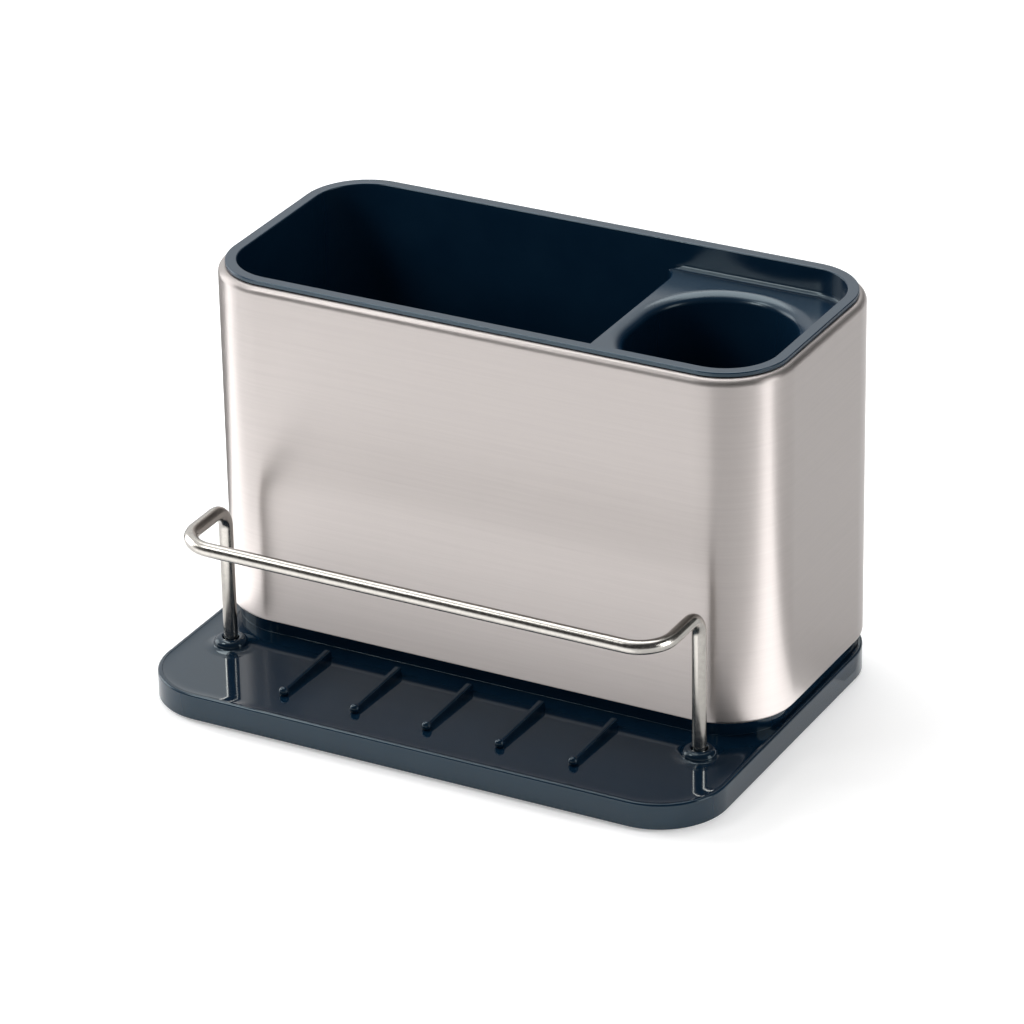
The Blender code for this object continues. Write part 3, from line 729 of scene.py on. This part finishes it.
def divider_pocket():
    """The cutter for the large compartment's end, with the divider's rounded top edge."""
    inset = HOLLOW_INSET - POCKET_CLEARANCE
    corner = DIVIDER_CORNER + POCKET_CLEARANCE
    path = outline(
        LEFT / 2, DIVIDER_FACE, BODY_FRONT + inset, BODY_BACK - inset, [corner] * 4)
    floor = FLOOR_TOP - POCKET_CLEARANCE
    profile = [(FLOOR_FILLET, floor)]
    round_to(profile, (0, floor + FLOOR_FILLET), False)
    profile.append((0, LEDGE_TOP - DIVIDER_EDGE_ROUND))
    round_to(profile, (-DIVIDER_EDGE_ROUND, LEDGE_TOP), True)
    profile.append((-DIVIDER_EDGE_ROUND, RIM_TOP))
    return swept_solid('divider_pocket', profile, path)


def brush_inset(height):
    """How far the brush compartment's wall lies inside the edge of its hole."""
    return BRUSH_LIP_WIDTH + draft(height)


def arc(profile, centre, radius, start, end):
    """Add an arc to a profile. Its angles are the tilt of the surface from level."""
    for step in range(ROUND_STEPS + 1):
        tilt = start + (end - start) * step / ROUND_STEPS
        point = centre + Vector((math.sin(tilt), math.cos(tilt))) * radius
        if (point - Vector(profile[-1])).length > MERGE:
            profile.append(tuple(point))


def brush_hole():
    """The cutter for the long hole, with a wide rounded lip, down to the floor."""
    side_foot = FLOOR_TOP + FLOOR_FILLET
    profile = [(brush_inset(side_foot) + FLOOR_FILLET, FLOOR_TOP)]
    round_to(profile, (brush_inset(side_foot), side_foot), False)
    tilt = Vector((math.sin(BRUSH_LIP_TILT), math.cos(BRUSH_LIP_TILT)))
    lip_centre = Vector((0, LEDGE_TOP - BRUSH_LIP_RADIUS))
    bend_centre = lip_centre + tilt * (BRUSH_LIP_RADIUS - BRUSH_LIP_BEND)
    arc(profile, bend_centre, BRUSH_LIP_BEND, RIGHT_ANGLE, BRUSH_LIP_TILT)
    arc(profile, lip_centre, BRUSH_LIP_RADIUS, BRUSH_LIP_TILT, 0)
    profile.append((0, LEDGE_TOP + OVERRUN))
    return swept_solid('brush_hole', profile, brush_outline())


def brush_surround():
    """The cutter for the space round the brush compartment's wall, open from below."""
    foot = LINER_FOOT - OVERRUN
    ceiling = LEDGE_TOP - LEDGE_THICKNESS
    left = DIVIDER_FACE + 2 * LINER_WALL
    corners = (BODY_CORNER, BODY_CORNER, DIVIDER_CORNER + HOLLOW_INSET, DIVIDER_CORNER + HOLLOW_INSET)
    path = outline(left - HOLLOW_INSET, RIGHT, BODY_FRONT, BODY_BACK, corners)
    space = swept_solid(
        'brush_surround', [(hollow_inset(foot), foot), (hollow_inset(ceiling), ceiling)], path)
    tube_foot = foot - OVERRUN
    tube_top = ceiling + OVERRUN
    tube = swept_solid(
        'brush_wall', [
            (brush_inset(tube_foot) - LINER_WALL, tube_foot),
            (brush_inset(tube_top) - LINER_WALL, tube_top)], brush_outline())
    combine(space, [(tube, 'DIFFERENCE')])
    return space


def drain_holes():
    """The cutters for rows of holes in both floors."""
    centre = (DIVIDER_FACE + LEFT + HOLLOW_INSET) / 2
    places = []
    for column in range(MAIN_DRAIN_COLUMNS):
        x = centre + (column - (MAIN_DRAIN_COLUMNS - 1) / 2) * DRAIN_PITCH
        for row in range(MAIN_DRAIN_ROWS):
            places.append((x, BODY_MIDDLE + (row - (MAIN_DRAIN_ROWS - 1) / 2) * DRAIN_PITCH))
    for row in range(BRUSH_DRAIN_ROWS):
        places.append((BRUSH_HOLE_X, BODY_MIDDLE + (row - (BRUSH_DRAIN_ROWS - 1) / 2) * DRAIN_PITCH))
    mesh = bmesh.new()
    for x, y in places:
        lathe(mesh, [(DRAIN_RADIUS, LINER_FOOT - OVERRUN), (DRAIN_RADIUS, FLOOR_TOP + OVERRUN)],
              x, y, SMALL_STEPS)
    return solid('drain_holes', mesh)


def make_liner():
    piece = liner_outside()
    combine(piece, [
        (liner_inside(), 'DIFFERENCE'), (ledge_block(), 'UNION'), (brush_surround(), 'DIFFERENCE'),
        (brush_hole(), 'DIFFERENCE'), (drain_holes(), 'DIFFERENCE')])
    dress(piece, gloss_plastic('liner_plastic', LINER_ROUGHNESS), 'liner', 'liner_plastic', 'liner')
    return piece


# Materials

def new_material(name):
    material = bpy.data.materials.new(name)
    material.use_nodes = True
    nodes = material.node_tree.nodes
    return material, nodes, material.node_tree.links, nodes['Principled BSDF']


def noise(nodes, links, stretch, detail):
    """Noise on the object's own coordinates, stretched along the three axes."""
    place = nodes.new('ShaderNodeTexCoord')
    mapping = nodes.new('ShaderNodeMapping')
    mapping.inputs['Scale'].default_value = stretch
    texture = nodes.new('ShaderNodeTexNoise')
    texture.inputs['Scale'].default_value = 1
    texture.inputs['Detail'].default_value = detail
    links.new(place.outputs['Object'], mapping.inputs['Vector'])
    links.new(mapping.outputs['Vector'], texture.inputs['Vector'])
    return texture.outputs['Fac']


def ranged(nodes, links, value, low, high):
    """Spread a noise value between two levels."""
    spread = nodes.new('ShaderNodeMapRange')
    spread.inputs['From Min'].default_value = NOISE_LOW
    spread.inputs['From Max'].default_value = NOISE_HIGH
    spread.inputs['To Min'].default_value = low
    spread.inputs['To Max'].default_value = high
    links.new(value, spread.inputs['Value'])
    return spread.outputs['Result']


def tinted(nodes, links, value, dark, light):
    """Spread a noise value between two colours."""
    mix = nodes.new('ShaderNodeMix')
    mix.data_type = 'RGBA'
    mix.inputs['A'].default_value = (*dark, 1)
    mix.inputs['B'].default_value = (*light, 1)
    links.new(ranged(nodes, links, value, 0, 1), mix.inputs['Factor'])
    return mix.outputs['Result']


def bumped(nodes, links, shader, value, strength, distance):
    """Tilt the shader's normal by a noise value."""
    bump = nodes.new('ShaderNodeBump')
    bump.inputs['Strength'].default_value = strength
    bump.inputs['Distance'].default_value = distance
    links.new(value, bump.inputs['Height'])
    links.new(bump.outputs['Normal'], shader.inputs['Normal'])


def gloss_plastic(name, roughness):
    """Dark blue moulded plastic with a high gloss."""
    material, nodes, links, shader = new_material(name)
    cloud = noise(nodes, links, PLASTIC_CLOUDS, detail=3)
    ripple = noise(nodes, links, PLASTIC_RIPPLES, detail=2)
    links.new(tinted(nodes, links, cloud, *PLASTIC_SHADES), shader.inputs['Base Color'])
    links.new(ranged(nodes, links, cloud, *roughness), shader.inputs['Roughness'])
    bumped(nodes, links, shader, ripple, strength=0.04, distance=PLASTIC_BUMP)
    shader.inputs['IOR'].default_value = 1.56
    shader.inputs['Specular Tint'].default_value = (0.8, 0.96, 1, 1)
    return material


def brushed_steel():
    """Stainless sheet, brushed along the horizontal."""
    material, nodes, links, shader = new_material('sleeve_steel')
    fine = noise(nodes, links, FINE_BRUSHING, detail=2)
    broad = noise(nodes, links, BROAD_BRUSHING, detail=3)
    both = nodes.new('ShaderNodeMath')
    both.operation = 'ADD'
    links.new(fine, both.inputs[0])
    links.new(broad, both.inputs[1])
    half = nodes.new('ShaderNodeMath')
    half.operation = 'MULTIPLY'
    half.inputs[1].default_value = 0.5
    links.new(both.outputs['Value'], half.inputs[0])
    streaks = half.outputs['Value']
    links.new(tinted(nodes, links, streaks, *STEEL_SHADES), shader.inputs['Base Color'])
    links.new(ranged(nodes, links, streaks, *STEEL_ROUGHNESS), shader.inputs['Roughness'])
    bumped(nodes, links, shader, streaks, strength=0.12, distance=STEEL_BUMP)
    tangent = nodes.new('ShaderNodeTangent')
    tangent.direction_type = 'RADIAL'
    tangent.axis = 'Z'
    links.new(tangent.outputs['Tangent'], shader.inputs['Tangent'])
    shader.inputs['Metallic'].default_value = 0.88
    shader.inputs['Anisotropic'].default_value = 0.68
    shader.inputs['Anisotropic Rotation'].default_value = 0.25
    return material


def drawn_wire():
    """Stainless wire with a satin surface."""
    material, nodes, links, shader = new_material('rail_wire')
    grain = noise(nodes, links, WIRE_GRAIN, detail=3)
    links.new(tinted(nodes, links, grain, *WIRE_SHADES), shader.inputs['Base Color'])
    links.new(ranged(nodes, links, grain, *WIRE_ROUGHNESS), shader.inputs['Roughness'])
    bumped(nodes, links, shader, grain, strength=0.05, distance=WIRE_BUMP)
    shader.inputs['Metallic'].default_value = 1
    return material


def soft_rubber():
    """Black rubber with a dull, grainy surface."""
    material, nodes, links, shader = new_material('foot_rubber')
    grain = noise(nodes, links, RUBBER_GRAIN, detail=4)
    links.new(tinted(nodes, links, grain, *RUBBER_SHADES), shader.inputs['Base Color'])
    links.new(ranged(nodes, links, grain, *RUBBER_ROUGHNESS), shader.inputs['Roughness'])
    bumped(nodes, links, shader, grain, strength=0.3, distance=RUBBER_BUMP)
    return material


# Studio

def heading(azimuth, elevation):
    """A direction in degrees. Azimuth 0 is the front, and 90 is the right."""
    turn = math.radians(azimuth)
    rise = math.radians(elevation)
    return Vector((
        math.sin(turn) * math.cos(rise), -math.cos(turn) * math.cos(rise), math.sin(rise)))


def seen_directly(nodes, links):
    """One for camera, glossy and transmission rays, and zero for the rays that light the object."""
    path = nodes.new('ShaderNodeLightPath')
    total = path.outputs['Is Camera Ray']
    for name in ('Is Glossy Ray', 'Is Transmission Ray'):
        either = nodes.new('ShaderNodeMath')
        either.operation = 'MAXIMUM'
        links.new(total, either.inputs[0])
        links.new(path.outputs[name], either.inputs[1])
        total = either.outputs['Value']
    return total


def faded(nodes, links, value, start, end, low, high):
    """Fade softly from one level to another while a value goes from start to end."""
    fade = nodes.new('ShaderNodeMapRange')
    fade.interpolation_type = 'SMOOTHSTEP'
    fade.inputs['From Min'].default_value = start
    fade.inputs['From Max'].default_value = end
    fade.inputs['To Min'].default_value = low
    fade.inputs['To Max'].default_value = high
    links.new(value, fade.inputs['Value'])
    return fade.outputs['Result']


def glow(nodes, links, direction, centre, low, high):
    """A wide soft glow in the world round a centre."""
    towards = nodes.new('ShaderNodeVectorMath')
    towards.operation = 'DOT_PRODUCT'
    towards.inputs[1].default_value = centre
    links.new(direction, towards.inputs[0])
    return faded(
        nodes, links, towards.outputs['Value'], math.cos(GLOW_END), math.cos(GLOW_START), low, high)


def make_world():
    """White diffusers at the left and behind, and a dim studio elsewhere above the horizon."""
    world = bpy.data.worlds.new('studio')
    world.use_nodes = True
    bpy.context.scene.world = world
    nodes = world.node_tree.nodes
    links = world.node_tree.links
    direction = nodes.new('ShaderNodeTexCoord').outputs['Generated']
    diffuser = glow(nodes, links, direction, heading(*DIFFUSER_PLACE), STUDIO_DIM, DIFFUSER_STRENGTH)
    fill = glow(nodes, links, direction, heading(*FILL_PLACE), FILL_LOW, FILL_HIGH)
    height = nodes.new('ShaderNodeSeparateXYZ')
    links.new(direction, height.inputs['Vector'])
    horizon = faded(nodes, links, height.outputs['Z'], 0, HORIZON_GLOW, 1, 0)
    brightest = nodes.new('ShaderNodeMath')
    brightest.operation = 'MAXIMUM'
    links.new(diffuser, brightest.inputs[0])
    links.new(horizon, brightest.inputs[1])
    strength = nodes.new('ShaderNodeMix')
    links.new(seen_directly(nodes, links), strength.inputs['Factor'])
    links.new(fill, strength.inputs['A'])
    links.new(brightest.outputs['Value'], strength.inputs['B'])
    background = nodes['Background']
    background.inputs['Color'].default_value = (1, 1, 1, 1)
    links.new(strength.outputs['Result'], background.inputs['Strength'])


def make_floor():
    """A pale floor that shows white where it is lit, and keeps the object's shadow."""
    mesh = bmesh.new()
    bmesh.ops.create_grid(mesh, x_segments=1, y_segments=1, size=FLOOR_REACH)
    floor = solid('floor', mesh)
    material, nodes, links, shader = new_material('pale_floor')
    cloud = noise(nodes, links, FLOOR_CLOUDS, detail=2)
    links.new(tinted(nodes, links, cloud, *FLOOR_SHADES), shader.inputs['Base Color'])
    shader.inputs['Roughness'].default_value = MATT
    shader.inputs['Specular IOR Level'].default_value = 0
    shader.inputs['Emission Color'].default_value = (1, 1, 1, 1)
    seen = nodes.new('ShaderNodeMath')
    seen.operation = 'MULTIPLY'
    seen.inputs[1].default_value = FLOOR_GLOW
    links.new(seen_directly(nodes, links), seen.inputs[0])
    lifted = nodes.new('ShaderNodeMath')
    lifted.operation = 'MULTIPLY_ADD'
    lifted.inputs[1].default_value = FLOOR_LIFT
    links.new(nodes.new('ShaderNodeLightPath').outputs['Is Camera Ray'], lifted.inputs[0])
    links.new(seen.outputs['Value'], lifted.inputs[2])
    links.new(lifted.outputs['Value'], shader.inputs['Emission Strength'])
    floor.data.materials.append(material)


def soft_box(name, azimuth, elevation, width, height, radiance):
    """A softbox that faces the object."""
    direction = heading(azimuth, elevation)
    lamp = bpy.data.lights.new(name, 'AREA')
    lamp.shape = 'RECTANGLE'
    lamp.size = width
    lamp.size_y = height
    lamp.energy = radiance * math.pi * width * height
    holder = bpy.data.objects.new(name, lamp)
    holder.location = LAMP_TARGET + direction * LAMP_DISTANCE
    holder.rotation_euler = direction.to_track_quat('Z', 'Y').to_euler()
    bpy.context.scene.collection.objects.link(holder)
    return holder


def card(name, left, right, front, back, height, radiance):
    """A bright card that lies by the object and faces up. The camera doesn't see it."""
    lamp = bpy.data.lights.new(name, 'AREA')
    lamp.shape = 'RECTANGLE'
    lamp.size = right - left
    lamp.size_y = back - front
    lamp.energy = radiance * math.pi * lamp.size * lamp.size_y
    holder = bpy.data.objects.new(name, lamp)
    holder.location = ((left + right) / 2, (front + back) / 2, height)
    holder.rotation_euler = (math.pi, 0, 0)
    holder.visible_camera = False
    bpy.context.scene.collection.objects.link(holder)
    return holder


def flag(name, left, right, front, back, shades):
    """A sheet that lies on the floor and only shows in what mirrors it: a painted darker reflection, which
    the camera doesn't see.
    """
    mesh = bmesh.new()
    bmesh.ops.create_grid(mesh, x_segments=1, y_segments=1, size=1)
    bmesh.ops.scale(mesh, verts=mesh.verts, vec=((right - left) / 2, (back - front) / 2, 1))
    bmesh.ops.translate(
        mesh, verts=mesh.verts, vec=((left + right) / 2, (front + back) / 2, FLAG_HEIGHT))
    painted_reflection = solid(name, mesh)
    material, nodes, links, shader = new_material(name + '_cloth')
    reflection_speckle = noise(nodes, links, REFLECTION_SHEET_SPECKLE, detail=3)
    links.new(tinted(nodes, links, reflection_speckle, *shades), shader.inputs['Base Color'])
    shader.inputs['Roughness'].default_value = MATT
    painted_reflection.data.materials.append(material)
    painted_reflection.visible_camera = False
    painted_reflection.visible_diffuse = False
    painted_reflection.visible_shadow = False


def link_lamp(holder, pieces, state):
    """Let a lamp light only some pieces (INCLUDE), or all but these (EXCLUDE)."""
    linked = bpy.data.collections.new('linked_to_' + holder.name)
    for piece in pieces:
        linked.objects.link(piece)
    for item in linked.collection_objects:
        item.light_linking.link_state = state
    holder.light_linking.receiver_collection = linked


def make_lamps(sleeve, liner, tray):
    """The strong side softboxes light the wire and the floor, and dim ones the sleeve and the plastics.

    The sleeve mirrors the cards beside it and in front of it instead, so it stays below white.
    """
    soft_box('key_softbox', *KEY_SOFTBOX)
    spared = (sleeve, tray, liner)
    for side, place in (('left', LEFT_SOFTBOX), ('right', RIGHT_SOFTBOX)):
        link_lamp(soft_box(side + '_softbox', *place), spared, 'EXCLUDE')
        link_lamp(soft_box(side + '_dim_softbox', *place[:-1], DIM_RADIANCE), spared, 'INCLUDE')
    soft_box('top_softbox', *TOP_SOFTBOX)
    for name, place in (('left_card', LEFT_CARD), ('right_card', RIGHT_CARD), ('near_card', NEAR_CARD)):
        link_lamp(card(name, *place), (sleeve,), 'INCLUDE')
    link_lamp(soft_box('liner_softbox', *LINER_SOFTBOX), (liner,), 'INCLUDE')
    card('far_card', *FAR_CARD)
    # Painted reflections: a black sheet at the left and a grey one at the right, which only darken the
    # steel's reflection of the floor
    flag('black_flag', *BLACK_FLAG, PAINTED_DARK_REFLECTION_SHADES)
    flag('grey_flag', *GREY_FLAG, PAINTED_GREY_REFLECTION_SHADES)


def make_camera():
    """The camera at the photograph's place, looking down and rolled a little."""
    lens = bpy.data.cameras.new('camera')
    lens.sensor_width = CAMERA_SENSOR
    lens.lens = CAMERA_LENS
    lens.clip_end = CAMERA_REACH
    camera = bpy.data.objects.new('camera', lens)
    turn = Matrix.Rotation(CAMERA_TURN, 4, 'Z')
    tilt = Matrix.Rotation(RIGHT_ANGLE - CAMERA_DROP, 4, 'X')
    roll = Matrix.Rotation(CAMERA_ROLL, 4, 'Z')
    camera.matrix_world = Matrix.Translation(CAMERA_PLACE) @ turn @ tilt @ roll
    bpy.context.scene.collection.objects.link(camera)
    bpy.context.scene.camera = camera


tray = make_tray()
make_feet()
make_rail()
steel = make_sleeve()
inside = make_liner()
make_world()
make_floor()
make_lamps(steel, inside, tray)
make_camera()
bpy.context.scene.view_settings.view_transform = 'Standard'
